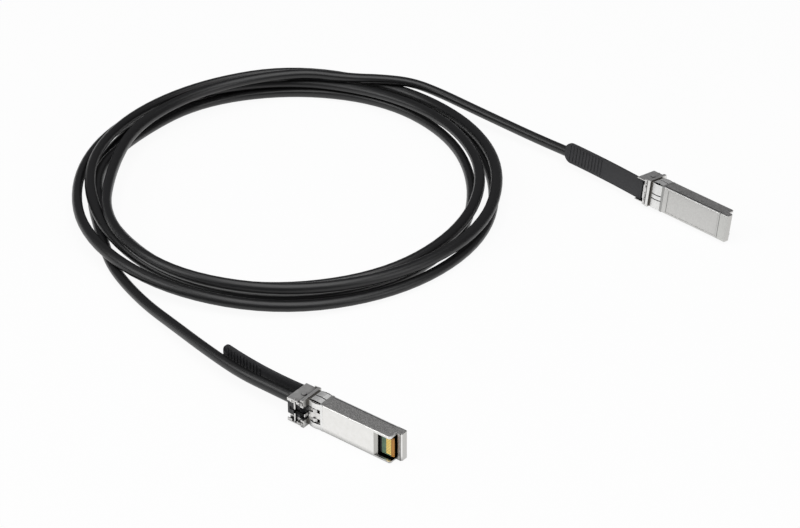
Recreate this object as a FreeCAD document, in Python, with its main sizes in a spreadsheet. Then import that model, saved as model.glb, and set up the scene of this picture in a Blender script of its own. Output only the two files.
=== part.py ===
import FreeCAD, Part
import Sketcher
import math
import os
import re

# Direct attach copper cable: a 3 m twinax cable with the same pluggable module at each end.
#
# Every piece of a plug is drawn once in the plug's own frame: x = 0 at the mating end and
# negative towards the cable, y across the width, z from the belly at 0 up to the cover.
# The row frame is in millimetres, +Z up, with the surface the cable lies on at z = 0, +X the way
# plug A goes into its cage, and the origin under the middle of the two plugs.

SIZES = {
    # plug body
    "body_width": 13.4, "body_height": 8.5, "stop_place": 46.3, "corner_round": 0.5,
    "side_wall": 1.0, "floor_thick": 1.2, "cover_thick": 0.9, "cavity_end": 44.0,
    "fit_gap": 0.05, "slide_gap": 0.1,
    # how far fused blocks reach into each other, and how far a cut runs past the face it opens
    "weld": 0.1, "past": 1.0,
    # mating end: nose, side rails and the opening in the belly
    "nose_length": 4.4, "nose_under": 4.3, "nose_bevel": 0.7, "rail_setback": 2.6,
    "rail_round": 1.1, "mouth_length": 11.2, "mouth_ramp": 1.4, "sill_place": 12.2,
    "sill_length": 2.0, "sill_top": 2.25,
    # stop flange and the housing behind it
    "flange_thick": 1.5, "flange_width": 13.7, "flange_belly": 2.8, "flange_top": 0.8,
    "housing_length": 6.1, "housing_width": 10.8, "housing_belly": 2.1, "housing_top": 0.35,
    "housing_low": 6.85,
    # spring collar
    "collar_start": 38.2, "collar_length": 6.9, "collar_thick": 0.25, "collar_recess": 0.3,
    "collar_band": 1.2, "finger_slot": 0.5, "finger_rise": 0.45, "side_rise": 0.3,
    "finger_crest": 2.9, "finger_flat": 1.6, "finger_tip": 0.05, "middle_finger": 1.9,
    "finger_shift": 0.35, "side_low": 1.0, "side_high": 0.7, "latch_window": 7.6,
    # latch boss and the two channels beside it
    "boss_width": 2.6, "boss_length": 2.6, "boss_rise": 0.45, "boss_shoulder": 45.0,
    "channel_inner": 1.6, "channel_outer": 3.2, "channel_depth": 0.7, "channel_end": 39.8,
    "well_depth": 1.1, "well_width": 6.6,
    # cover
    "cover_inset": 0.1, "label_inset": 1.1, "label_depth": 0.15, "label_end": 35.6,
    "key_drop": 0.5, "key_inset": 0.1,
    # card, contacts and the parts soldered on it
    "card_setback": 2.5, "card_end": 40.0, "card_gap": 0.1, "card_step": 1.0,
    "card_shoulder": 12.8, "card_thick": 1.0, "bevel_length": 1.2, "bevel_depth": 0.35,
    "pad_count": 10, "pad_pitch": 0.8, "pad_width": 0.6, "pad_length": 2.5, "pad_inset": 0.1,
    "pad_thick": 0.05, "chip_length": 4.9, "chip_width": 3.9, "chip_tall": 1.5, "chip_lift": 0.15,
    "chip_place": 24.0, "leg_count": 4, "leg_pitch": 1.27, "leg_width": 0.4, "leg_reach": 1.0,
    "leg_tall": 0.5, "capacitor_count": 4, "capacitor_length": 1.0, "capacitor_width": 0.5,
    "capacitor_tall": 0.5, "capacitor_place": 16.6, "capacitor_pitch": 2.2,
    # cable end
    "cable_diameter": 5.2, "cable_up": 3.8, "core_diameter": 1.0, "core_apart": 3.0,
    "core_bundle": 1.3, "core_lap": 2.6, "core_bend": 1.4, "core_gap": 0.3, "ferrule_diameter": 5.1,
    "ferrule_start": 47.0, "ferrule_length": 3.6, "relief_start": 48.6,
    "relief_end": 55.4, "relief_width": 6.1, "relief_top": 6.8, "relief_round": 0.4,
    # latch slider, release fork, cross pin, rivets and springs
    "slider_rest": 0.35, "sheet_thick": 0.4, "plate_end": 54.4, "plate_belly": 3.3,
    "bridge_width": 13.2, "bridge_strip": 1.4, "tongue_up": 7.85, "tongue_width": 7.0, "tongue_thick": 0.3,
    "tongue_end": 53.4, "lip_width": 1.4, "lip_front": 46.4, "lip_break": 49.5,
    "lip_back": 52.0, "pin_diameter": 0.9, "pin_place": 50.8, "pin_proud": 0.3,
    "eye_diameter": 1.7, "neck_width": 1.4, "neck_thick": 0.5,
    "fork_bar": 0.8, "tine_tip": 41.3, "tine_thick": 0.5, "tine_lift": 0.35,
    "tine_ramp": 2.0, "ramp_back": 1.6, "ramp_front": 1.1, "tine_nib": 0.15, "travel": 2.3,
    "rivet_diameter": 1.1, "rivet_place": 50.2, "rivet_up": 2.6, "rivet_head": 1.9,
    "rivet_head_thick": 0.3, "rivet_depth": 1.4, "spring_diameter": 1.7, "spring_wire": 0.26,
    "spring_turns": 5, "spring_facets": 6, "spring_up": 5.6, "spring_gap": 0.15, "spring_end": 53.3,
    # pull tab: it leaves the bracket sloping towards the cable and bends away from it
    "tab_start": 51.0, "tab_length": 51.2, "tab_gap": 0.15, "tab_thick": 0.95, "tab_round": 4.6,
    "tab_up": 8.6, "tab_slope": 4.5, "tab_bend_a": 200.0, "tab_bend_b": 430.0,
    "tab_sag_a": 0.9, "tab_sag_b": -0.9,
    "bead_length": 1.0, "bead_rise": 0.35, "rib_count": 11,
    "rib_pitch": 2.0, "rib_width": 1.0, "rib_rise": 0.25, "rib_inset": 1.2, "rib_place": 2.6,
    # where the plugs lie
    "plug_a_x": 42.0, "plug_a_y": -118.4, "plug_a_up": 7.0,
    "plug_b_x": 60.2, "plug_b_y": 110.8, "plug_b_up": 7.72, "plug_b_turn": -7.6,
    "plug_b_lean": 7.4, "lead_straight": 14.0,
    # coil
    "coil_x": -135.7, "coil_y": 17.1, "coil_radius": 96.0, "coil_width": 22.0,
    "coil_flat": 12.5, "coil_tall": 14.6, "cable_flats": 16,
}

# The route of each lead between its plug and the coil, chosen by hand.
LEAD_A = [(-45.8, -118.7, 7.0), (-71.1, -113.6, 6.3), (-94.4, -107.2, 4.7), (-114.3, -101.9, 3.3),
          (-133.1, -95.4, 2.8), (-149.4, -88.3, 2.8)]
LEAD_B = [(-28.9, 123.7, 6.5), (-48.9, 126.2, 5.6), (-67.0, 127.6, 5.8), (-86.7, 129.2, 6.4),
          (-106.5, 130.1, 7.6), (-126.0, 130.2, 9.2), (-141.5, 127.0, 10.6), (-155.5, 119.5, 11.2)]

doc = FreeCAD.newDocument("direct_attach_cable")
sheet = doc.addObject("Spreadsheet::Sheet", "sizes")
for row, (name, value) in enumerate(SIZES.items(), start=1):
    sheet.set("A%d" % row, name)
    sheet.set("B%d" % row, str(value))
    sheet.setAlias("B%d" % row, name)
doc.recompute()
parts = []


def cell(name):
    """A size read back from the sheet, for shapes that are set by code."""
    return float(sheet.get(name))


def bind(item, prop, formula):
    """Ties a property to a formula in which every word is a cell of the sheet."""
    item.setExpression(prop, re.sub(r"[a-z][a-z_]*[a-z]", lambda word: "sizes." + word.group(), formula))


def new_body(label):
    body = doc.addObject("PartDesign::Body", label)
    body.Label = label
    body.AllowCompound = True
    parts.append(body)
    return body


def new_shape(label, shape):
    piece = doc.addObject("Part::Feature", label)
    piece.Label = label
    piece.Shape = shape
    parts.append(piece)
    return piece


def new_sketch(body, name, plane, offset):
    sketch = body.newObject("Sketcher::SketchObject", name)
    role = plane + "_Plane"
    sketch.AttachmentSupport = ([f for f in body.Origin.OriginFeatures if f.Role == role][0], "")
    sketch.MapMode = "FlatFace"
    bind(sketch, "AttachmentOffset.Base.z", offset)
    return sketch


def extrude(body, name, sketch, plane, low, high, cut):
    """Pad or pocket from low to high along the normal of the plane."""
    feature = body.newObject("PartDesign::Pocket" if cut else "PartDesign::Pad", name)
    feature.Profile = sketch
    feature.Reversed = cut
    bind(feature, "Length", "(%s) - (%s)" % (high, low))
    return feature


def start_of(plane, low, high):
    """The normal of the XZ plane points to -Y, so there the sketch stands at the high side."""
    return "-(%s)" % high if plane == "XZ" else low


def prism(body, name, plane, low, high, *loops, cut=False):
    """Straight-sided block or cut. Each loop is a list of corners, as formulas of the sheet."""
    sketch = new_sketch(body, name + "_sketch", plane, start_of(plane, low, high))
    first = 0
    for corners in loops:
        count = len(corners)
        ring = [FreeCAD.Vector(math.cos(math.tau * k / count), math.sin(math.tau * k / count), 0)
                for k in range(count)]
        for k in range(count):
            sketch.addGeometry(Part.LineSegment(ring[k], ring[(k + 1) % count]))
        for k, (across, up) in enumerate(corners):
            after = first + (k + 1) % count
            sketch.addConstraint(Sketcher.Constraint("Coincident", first + k, 2, after, 1))
            for kind, formula in (("DistanceX", across), ("DistanceY", up)):
                number = sketch.addConstraint(Sketcher.Constraint(kind, -1, 1, first + k, 1, 1.0))
                bind(sketch, "Constraints[%d]" % number, formula)
        first += count
    return extrude(body, name, sketch, plane, low, high, cut)


def rod(body, name, plane, low, high, across, up, diameter, cut=False):
    """Round bar or hole with its axis along the normal of the plane."""
    sketch = new_sketch(body, name + "_sketch", plane, start_of(plane, low, high))
    sketch.addGeometry(Part.Circle(FreeCAD.Vector(0, 0, 0), FreeCAD.Vector(0, 0, 1), 1.0))
    for kind, formula in (("DistanceX", across), ("DistanceY", up)):
        number = sketch.addConstraint(Sketcher.Constraint(kind, -1, 1, 0, 3, 1.0))
        bind(sketch, "Constraints[%d]" % number, formula)
    number = sketch.addConstraint(Sketcher.Constraint("Diameter", 0, 1.0))
    bind(sketch, "Constraints[%d]" % number, diameter)
    return extrude(body, name, sketch, plane, low, high, cut)


def box(low_across, high_across, low_up, high_up):
    return [(low_across, low_up), (high_across, low_up), (high_across, high_up),
            (low_across, high_up)]


def wide(width, low_up, high_up):
    """Box centred across the plug."""
    return box("-(%s) / 2" % width, "(%s) / 2" % width, low_up, high_up)


def along(back, front, low_up, high_up):
    """Box between two distances behind the mating end."""
    return box("-(%s)" % back, "-(%s)" % front, low_up, high_up)


def dress(body, kind, name, radius, chosen):
    """Fillet or chamfer on the edges of the tip that pass the test."""
    doc.recompute()
    tip = body.Tip
    edges = ["Edge%d" % (k + 1) for k, edge in enumerate(tip.Shape.Edges) if chosen(edge)]
    if not edges:
        raise RuntimeError("no edge for " + name)
    feature = body.newObject("PartDesign::" + kind, name)
    feature.Base = (tip, edges)
    bind(feature, "Radius" if kind == "Fillet" else "Size", radius)


def runs_along(edge, axis):
    """True for a straight edge along x (0), y (1) or z (2)."""
    if edge.Curve.TypeId != "Part::GeomLine":
        return False
    return abs(abs(edge.Curve.Direction[axis]) - 1) < 1e-6


def near(a, b):
    return abs(a - b) < 1e-4


# ---- the pieces of one plug ----------------------------------------------------------------

# Planes and widths that several pieces share: the seam under the cover, the room between the
# side walls, the card, and the planes on the housing between which the slider runs.
SEAM = "(body_height - cover_thick)"
INSIDE = "(body_width - 2 * side_wall)"
CARD_REAR = "(body_width - 2 * side_wall - 2 * card_gap)"
CARD_BLADE = "(body_width - 2 * side_wall - 2 * card_gap - 2 * card_step)"
CARD_FACE = "(sill_top + card_thick)"
PLATE_IN = "(housing_width / 2 + fit_gap)"
PLATE_OUT = "(housing_width / 2 + fit_gap + sheet_thick)"
BRIDGE_UNDER = "(body_height + housing_top + fit_gap)"
BRIDGE_OVER = "(body_height + housing_top + fit_gap + sheet_thick)"
SLIDER_FRONT = "(stop_place + flange_thick + slider_rest)"
SPRING_OUT = "(housing_width / 2 + fit_gap - spring_gap - spring_diameter / 2)"
PIN_UP = "(-housing_belly - slide_gap - pin_diameter / 2)"


def shell_base(end):
    """Die-cast lower shell: nose, rails, stop flange and the housing that holds the cable."""
    body = new_body("shell_base_" + end)
    housing_end = "stop_place + flange_thick + housing_length"
    prism(body, "trough", "XZ", "-body_width / 2", "body_width / 2", [
        ("-stop_place - weld", "0"), ("-rail_setback", "0"), ("-rail_setback", "nose_under"),
        ("0", "nose_under"), ("0", "body_height"), ("-nose_length", "body_height"),
        ("-nose_length", SEAM), ("-stop_place - weld", SEAM)])
    dress(body, "Fillet", "rail_round", "rail_round",
          lambda e: runs_along(e, 1) and near(e.CenterOfMass.x, -cell("rail_setback"))
          and near(e.CenterOfMass.z, 0))
    dress(body, "Chamfer", "nose_bevel", "nose_bevel",
          lambda e: runs_along(e, 1) and near(e.CenterOfMass.x, 0))
    half = cell("body_width") / 2
    dress(body, "Fillet", "long_edges", "corner_round",
          lambda e: runs_along(e, 0) and near(abs(e.CenterOfMass.y), half)
          and (near(e.CenterOfMass.z, 0) or near(e.CenterOfMass.z, cell("body_height"))))
    prism(body, "cavity", "XY", "floor_thick", SEAM,
          along("cavity_end", "nose_length", "-%s / 2" % INSIDE, INSIDE + " / 2"), cut=True)
    lip = "-mouth_length + mouth_ramp"
    prism(body, "mouth", "XZ", "-%s / 2" % INSIDE, INSIDE + " / 2", [
        ("-mouth_length", "-past"), ("past", "-past"), ("past", "nose_under"), (lip, "nose_under"),
        (lip, "floor_thick"), ("-mouth_length", "0")], cut=True)
    prism(body, "sill", "XY", "floor_thick - weld", "sill_top",
          along("sill_place + sill_length", "sill_place", "-%s / 2 - weld" % INSIDE,
                INSIDE + " / 2 + weld"))
    prism(body, "flange", "YZ", "-stop_place - flange_thick", "-stop_place",
          wide("flange_width", "-flange_belly", "body_height + flange_top"))
    prism(body, "housing", "YZ", "-(%s)" % housing_end, "-stop_place - flange_thick",
          wide("housing_width", "-housing_belly", "body_height + housing_top"))
    prism(body, "tab_step", "XZ", "-housing_width", "housing_width",
          along("%s + past" % housing_end, SLIDER_FRONT + " + bridge_strip - fit_gap", "housing_low",
                "body_height + housing_top + past"), cut=True)
    prism(body, "collar_bed", "YZ", "-stop_place", "-collar_start + fit_gap",
          wide("body_width + 2 * past", "-past", "body_height + past"),
          wide("body_width - 2 * collar_recess", "collar_recess", "body_height - collar_recess"),
          cut=True)
    prism(body, "latch_boss", "XZ", "-boss_width / 2", "boss_width / 2", [
        ("-boss_shoulder", "collar_recess + weld"), ("-boss_shoulder", "-boss_rise"),
        ("-boss_shoulder + boss_length / 2", "-boss_rise"),
        ("-boss_shoulder + boss_length", "collar_recess + weld")])
    prism(body, "channels", "XY", "-past", "channel_depth",
          along("stop_place", "channel_end", "channel_inner - slide_gap", "channel_outer + slide_gap"),
          along("stop_place", "channel_end", "-channel_outer - slide_gap",
                "-channel_inner + slide_gap"), cut=True)
    prism(body, "actuator_well", "XY", "-flange_belly - past", "well_depth",
          along("relief_start", "boss_shoulder + slide_gap", "-well_width / 2", "well_width / 2"),
          cut=True)
    prism(body, "relief_seat", "XY", "-housing_belly - past", "relief_top",
          along("%s + past" % housing_end, "relief_start", "-relief_width / 2", "relief_width / 2"),
          cut=True)
    prism(body, "ferrule_bore", "YZ", "-relief_start - weld", "-cavity_end + weld", ferrule_outline(),
          cut=True)
    low, high = SPRING_OUT + " - spring_diameter / 2 - slide_gap", "housing_width / 2 + past"
    prism(body, "spring_grooves", "YZ", "-spring_end", "-stop_place - flange_thick",
          *[box(a, b, "spring_up - spring_diameter / 2 - slide_gap",
                "spring_up + spring_diameter / 2 + slide_gap")
            for a, b in ((low, high), ("-(%s)" % high, "-(%s)" % low))], cut=True)
    for side, low, high in (
            ("right", "housing_width / 2 - rivet_depth", "housing_width / 2 + past"),
            ("left", "-housing_width / 2 - past", "-housing_width / 2 + rivet_depth")):
        rod(body, "rivet_hole_" + side, "XZ", low, high, "-rivet_place", "rivet_up",
            "rivet_diameter", cut=True)
    return body


def shell_cover(end):
    """Flat cover with a bare recess for a label and a key that drops into the trough."""
    body = new_body("shell_cover_" + end)
    prism(body, "plate", "XY", SEAM, "body_height",
          along("stop_place - fit_gap", "nose_length + fit_gap", "-body_width / 2 + cover_inset",
                "body_width / 2 - cover_inset"))
    half = cell("body_width") / 2 - cell("cover_inset")
    dress(body, "Fillet", "long_edges", "corner_round",
          lambda e: runs_along(e, 0) and near(abs(e.CenterOfMass.y), half)
          and near(e.CenterOfMass.z, cell("body_height")))
    prism(body, "label_bed", "XY", "body_height - label_depth", "body_height + past",
          along("label_end", "nose_length + label_inset", "-body_width / 2 + label_inset",
                "body_width / 2 - label_inset"), cut=True)
    prism(body, "collar_bed", "YZ", "-stop_place", "-collar_start + fit_gap",
          wide("body_width + 2 * past", "-past", "body_height + past"),
          wide("body_width - 2 * collar_recess", "0", "body_height - collar_recess"), cut=True)
    reach = INSIDE + " / 2 - key_inset"
    prism(body, "key", "XY", SEAM + " - key_drop", SEAM + " + weld",
          along("cavity_end - key_inset", "sill_place + sill_length", "-%s / 2 + key_inset" % INSIDE,
                reach))
    return body


def finger(body, name, plane, low, high, level, rise, sign):
    """One spring finger: bent up from the band to a crest and back down to its free end."""
    root = "-collar_start - collar_band + weld"
    free = "-collar_start - collar_length"
    front = "-collar_start - collar_band - finger_crest + finger_flat / 2"
    back = "-collar_start - collar_band - finger_crest - finger_flat / 2"

    def lift(extra):
        return "%s %s (%s)" % (level, sign, extra)

    bends = ((root, "0"), (front, rise), (back, rise), (free, "finger_tip"))
    outer = [(place, lift(high_side)) for place, high_side in bends]
    inner = [(place, lift(high_side + " - collar_thick")) for place, high_side in reversed(bends)]
    prism(body, name, plane, low, high, outer + inner)


def emi_collar(end):
    """Stamped spring collar: one band round the shell with fingers that run to the rear."""
    body = new_body("emi_collar_" + end)
    rim = "(collar_recess - collar_thick)"
    prism(body, "band", "YZ", "-collar_start - collar_band", "-collar_start",
          wide("body_width - 2 * " + rim, rim, "body_height - " + rim),
          wide("body_width - 2 * collar_recess", "collar_recess", "body_height - collar_recess"))
    half = "(body_width / 2 - %s)" % rim
    inner = "(body_width / 2 - collar_recess)"
    top_fingers = [("-" + inner, "-middle_finger / 2 - finger_slot - finger_shift"),
                   ("-middle_finger / 2 - finger_shift", "middle_finger / 2 - finger_shift"),
                   ("middle_finger / 2 + finger_slot - finger_shift", inner)]
    for k, (low, high) in enumerate(top_fingers):
        finger(body, "top_finger_%d" % k, "XZ", low, high, "body_height - " + rim, "finger_rise", "+")
    for k, (low, high) in enumerate((("latch_window / 2", inner), ("-" + inner, "-latch_window / 2"))):
        finger(body, "belly_finger_%d" % k, "XZ", low, high, rim, "finger_rise", "-")
    spans = [("side_low", "body_height / 2 - finger_slot / 2"),
             ("body_height / 2 + finger_slot / 2", "body_height - side_high")]
    for k, (low, high) in enumerate(spans):
        finger(body, "right_finger_%d" % k, "XY", low, high, half, "side_rise", "+")
        finger(body, "left_finger_%d" % k, "XY", low, high, "-" + half, "side_rise", "-")
    return body


def paddle_card(end):
    """Circuit card whose bare edge is the plug's contact blade, bevelled on both faces."""
    body = new_body("paddle_card_" + end)
    rear, blade = CARD_REAR + " / 2", CARD_BLADE + " / 2"
    edge = "-card_setback - bevel_length"
    prism(body, "board", "XY", "sill_top", CARD_FACE, [
        ("-card_end", "-" + rear), ("-card_shoulder", "-" + rear), ("-card_shoulder", "-" + blade),
        (edge, "-" + blade), (edge, blade), ("-card_shoulder", blade), ("-card_shoulder", rear),
        ("-card_end", rear)])
    prism(body, "edge_bevel", "XZ", "-" + blade, blade, [
        (edge, "sill_top"), ("-card_setback", "sill_top + bevel_depth"),
        ("-card_setback", CARD_FACE + " - bevel_depth"), (edge, CARD_FACE)])
    return body


def spread(count):
    """Places of a centred row, in pitches from its middle."""
    return ["%.1f" % (k - (count - 1) / 2) for k in range(int(count))]


def contact_pads(end):
    """Gold contacts on both faces of the blade."""
    body = new_body("contact_pads_" + end)
    front = "card_setback + bevel_length + pad_inset"
    loops = [along(front + " + pad_length", front, "pad_pitch * %s - pad_width / 2" % place,
                   "pad_pitch * %s + pad_width / 2" % place) for place in spread(cell("pad_count"))]
    prism(body, "upper_pads", "XY", CARD_FACE, CARD_FACE + " + pad_thick", *loops)
    prism(body, "lower_pads", "XY", "sill_top - pad_thick", "sill_top", *loops)
    return body


def id_chip(end):
    """Memory chip that names the cable to its host."""
    body = new_body("id_chip_" + end)
    prism(body, "case", "XY", CARD_FACE + " + chip_lift", CARD_FACE + " + chip_tall",
          along("chip_place + chip_length / 2", "chip_place - chip_length / 2", "-chip_width / 2",
                "chip_width / 2"))
    prism(body, "legs", "XY", CARD_FACE, CARD_FACE + " + leg_tall",
          *[along("chip_place + leg_pitch * %s + leg_width / 2" % place,
                  "chip_place + leg_pitch * %s - leg_width / 2" % place,
                  "-chip_width / 2 - leg_reach", "chip_width / 2 + leg_reach")
            for place in spread(cell("leg_count"))])
    return body


def capacitors(end):
    """Small capacitors in a row across the card."""
    body = new_body("capacitors_" + end)
    prism(body, "row", "XY", CARD_FACE, CARD_FACE + " + capacitor_tall",
          *[along("capacitor_place + capacitor_length", "capacitor_place",
                  "capacitor_pitch * %s - capacitor_width / 2" % place,
                  "capacitor_pitch * %s + capacitor_width / 2" % place)
            for place in spread(cell("capacitor_count"))])
    return body


def wire_cores(end):
    """Four insulated cores, soldered to both faces of the card and led to the ferrule."""
    radius = cell("core_diameter") / 2
    card_end = -cell("card_end")
    cores = []
    for side in (-1, 1):
        for level, bundle in ((cell("sill_top") + cell("card_thick") + radius, 1),
                              (cell("sill_top") - radius, -1)):
            across = side * cell("core_apart") / 2
            end_across = side * cell("core_bundle") / 2
            end_up = cell("cable_up") + bundle * cell("core_bundle") / 2
            path = Part.makePolygon([
                FreeCAD.Vector(card_end + cell("core_lap"), across, level),
                FreeCAD.Vector(card_end - cell("core_bend"), across, level),
                FreeCAD.Vector(cell("core_gap") - cell("ferrule_start"), end_across, end_up)])
            ring = [FreeCAD.Vector(0, math.cos(turn), math.sin(turn)) * radius + path.Vertexes[0].Point
                    for turn in (math.tau * (k + 0.5) / 8 for k in range(8))]
            cores.append(path.makePipeShell([Part.makePolygon([*ring, ring[0]])], True, False, 1))
    return new_shape("wire_cores_" + end, Part.makeCompound(cores))


def ferrule_outline():
    """Six flats of the crimping tool round the cable's middle."""
    corners = [(math.cos(math.tau * k / 6), math.sin(math.tau * k / 6)) for k in range(6)]
    return [("ferrule_diameter / 2 * (%.6f)" % across,
             "cable_up + ferrule_diameter / 2 * (%.6f)" % up) for across, up in corners]


def crimp_ferrule(end):
    """Ferrule crimped in six flats round the end of the cable's shield."""
    body = new_body("crimp_ferrule_" + end)
    prism(body, "sleeve", "YZ", "-ferrule_start - ferrule_length", "-ferrule_start",
          ferrule_outline())
    return body


def strain_relief(end):
    """Moulded block that grips the cable at the rear of the housing."""
    body = new_body("strain_relief_" + end)
    prism(body, "block", "YZ", "-relief_end", "-relief_start",
          wide("relief_width", "-housing_belly", "relief_top"))
    dress(body, "Fillet", "rear_edges", "relief_round",
          lambda e: near(e.CenterOfMass.x, -cell("relief_end")))
    prism(body, "eye_groove", "XY", "-housing_belly - past",
          "-housing_belly + eye_diameter / 2 - pin_diameter / 2 + slide_gap",
          along("pin_place + eye_diameter / 2 + travel + 2 * slide_gap", "relief_start - past",
                "-neck_width / 2 - slide_gap", "neck_width / 2 + slide_gap"), cut=True)
    prism(body, "ferrule_seat", "YZ", "-ferrule_start - ferrule_length", "-relief_start + past",
          ferrule_outline(), cut=True)
    return body


def latch_slider(end):
    """Stamped bracket that straddles the housing and slides to the rear to unlatch the plug."""
    body = new_body("latch_slider_" + end)
    prism(body, "bridge", "YZ", "-%s - bridge_strip" % SLIDER_FRONT, "-" + SLIDER_FRONT,
          wide("2 * " + PLATE_OUT, BRIDGE_UNDER, BRIDGE_OVER))
    prism(body, "plates", "YZ", "-plate_end", "-" + SLIDER_FRONT,
          box(PLATE_IN, PLATE_OUT, "-plate_belly", BRIDGE_OVER),
          box("-" + PLATE_OUT, "-" + PLATE_IN, "-plate_belly", BRIDGE_OVER))
    prism(body, "front_strip", "XY", BRIDGE_UNDER, BRIDGE_OVER,
          along(SLIDER_FRONT + " + bridge_strip", SLIDER_FRONT, "-bridge_width / 2",
                "bridge_width / 2"))
    web = "(%s + bridge_strip)" % SLIDER_FRONT
    prism(body, "tab_tongue", "XZ", "-tongue_width / 2", "tongue_width / 2", [
        ("-%s + weld" % web, BRIDGE_OVER), ("-%s - sheet_thick" % web, BRIDGE_OVER),
        ("-%s - sheet_thick" % web, "tongue_up + tongue_thick"),
        ("-tongue_end", "tongue_up + tongue_thick"), ("-tongue_end", "tongue_up"),
        ("-%s" % web, "tongue_up"), ("-%s" % web, BRIDGE_UNDER),
        ("-%s + weld" % web, BRIDGE_UNDER)])
    lips = [along(back, front, low, high)
            for back, front in (("lip_break", "lip_front"), ("plate_end", "lip_back"))
            for low, high in ((PLATE_OUT + " - lip_width", PLATE_OUT),
                              ("-" + PLATE_OUT, "-" + PLATE_OUT + " + lip_width"))]
    prism(body, "lips", "XY", "-plate_belly", "-plate_belly + sheet_thick", *lips)
    lug_low, lug_high = "spring_up - spring_diameter / 2", "spring_up + spring_diameter / 2"
    prism(body, "spring_lugs", "YZ", "-%s - sheet_thick" % SLIDER_FRONT, "-" + SLIDER_FRONT,
          box(SPRING_OUT + " - spring_diameter / 2", PLATE_IN + " + weld", lug_low, lug_high),
          box("-%s - weld" % PLATE_IN, "-%s + spring_diameter / 2" % SPRING_OUT, lug_low, lug_high))
    prism(body, "rivet_slots", "XZ", "-housing_width", "housing_width",
          along("rivet_place + rivet_diameter / 2 + slide_gap",
                "rivet_place - rivet_diameter / 2 - travel - slide_gap",
                "rivet_up - rivet_diameter / 2 - slide_gap",
                "rivet_up + rivet_diameter / 2 + slide_gap"), cut=True)
    rod(body, "pin_holes", "XZ", "-housing_width", "housing_width", "-pin_place", PIN_UP,
        "pin_diameter", cut=True)
    return body


def cross_pin(end):
    """Pin across the belly, riveted into the slider's plates, that carries the fork."""
    body = new_body("cross_pin_" + end)
    rod(body, "shank", "XZ", "-%s - pin_proud" % PLATE_OUT, PLATE_OUT + " + pin_proud",
        "-pin_place", PIN_UP, "pin_diameter")
    return body


def release_fork(end):
    """Fork on the cross pin whose two ramped tines lift the cage's latch off the boss."""
    body = new_body("release_fork_" + end)
    bar_front = "(boss_shoulder + 2 * slide_gap)"
    low, high = "(channel_depth - slide_gap - tine_thick)", "(channel_depth - slide_gap)"
    rod(body, "eye", "XZ", "-neck_width / 2", "neck_width / 2", "-pin_place", PIN_UP,
        "eye_diameter")
    prism(body, "neck", "XZ", "-neck_width / 2", "neck_width / 2", [
        ("-pin_place", PIN_UP + " - neck_thick / 2"),
        ("-%s" % bar_front, PIN_UP + " - neck_thick / 2"), ("-%s" % bar_front, high),
        ("-%s - fork_bar" % bar_front, high),
        ("-%s - fork_bar" % bar_front, PIN_UP + " + neck_thick / 2"),
        ("-pin_place", PIN_UP + " + neck_thick / 2")])
    prism(body, "bar", "XY", low, high,
          along(bar_front + " + fork_bar", bar_front, "-channel_outer", "channel_outer"))
    sides = (("right", "channel_inner", "channel_outer"), ("left", "-channel_outer", "-channel_inner"))
    for name, near_side, far_side in sides:
        prism(body, "tine_" + name, "XZ", near_side, far_side, [
            ("-%s - weld" % bar_front, low), ("-tine_tip - tine_ramp", low),
            ("-tine_tip - ramp_back", "-tine_lift"), ("-tine_tip - ramp_front", "-tine_lift"),
            ("-tine_tip", high + " - tine_nib"), ("-tine_tip", high),
            ("-%s - weld" % bar_front, high)])
    rod(body, "pin_bore", "XZ", "-neck_width", "neck_width", "-pin_place", PIN_UP,
        "pin_diameter + 2 * fit_gap", cut=True)
    return body


def coil_spring(length, radius, wire):
    """Open coil spring along +z, wound of square wire in flat facets."""
    steps = int(cell("spring_facets"))
    count = steps * int(cell("spring_turns"))
    half = wire / 2

    def section(k):
        turn = math.tau * k / steps
        outward = FreeCAD.Vector(math.cos(turn), math.sin(turn), 0)
        rise = half + (length - wire) * k / count
        return [outward * (radius + out) + FreeCAD.Vector(0, 0, rise + up)
                for out, up in ((-half, -half), (half, -half), (half, half), (-half, half))]

    sections = [section(k) for k in range(count + 1)]
    loops = [sections[0], sections[-1]]
    for one, two in zip(sections, sections[1:]):
        for k in range(4):
            after = (k + 1) % 4
            loops += [(one[k], one[after], two[after]), (one[k], two[after], two[k])]
    faces = [Part.Face(Part.makePolygon([*loop, loop[0]])) for loop in loops]
    return Part.Solid(Part.Shell(faces))


def return_springs(end):
    """Two coil springs between the slider's lugs and the rear wall of their grooves."""
    wire, diameter = cell("spring_wire"), cell("spring_diameter")
    out = cell("housing_width") / 2 + cell("fit_gap") - cell("spring_gap") - diameter / 2
    front = -(cell("stop_place") + cell("flange_thick") + cell("slider_rest") + cell("sheet_thick"))
    length = front + cell("spring_end") - 2 * cell("fit_gap")
    springs = []
    for side in (-1, 1):
        spring = coil_spring(length, (diameter - wire) / 2, wire)
        spring.rotate(FreeCAD.Vector(0, 0, 0), FreeCAD.Vector(0, 1, 0), 90)
        spring.translate(FreeCAD.Vector(-cell("spring_end") + cell("fit_gap"),
                                        side * out, cell("spring_up")))
        springs.append(spring)
    return new_shape("return_springs_" + end, Part.makeCompound(springs))


def guide_rivets(end):
    """Two headed rivets in the housing that keep the slider on and guide its slots."""
    body = new_body("guide_rivets_" + end)
    wall = "housing_width / 2"
    outer = PLATE_OUT + " + fit_gap"
    rod(body, "shank_right", "XZ", wall + " - rivet_depth", outer + " + weld", "-rivet_place",
        "rivet_up", "rivet_diameter")
    rod(body, "head_right", "XZ", outer, outer + " + rivet_head_thick", "-rivet_place",
        "rivet_up", "rivet_head")
    rod(body, "shank_left", "XZ", "-(%s) - weld" % outer, "-%s + rivet_depth" % wall,
        "-rivet_place", "rivet_up", "rivet_diameter")
    rod(body, "head_left", "XZ", "-(%s) - rivet_head_thick" % outer, "-(%s)" % outer,
        "-rivet_place", "rivet_up", "rivet_head")
    return body


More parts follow.
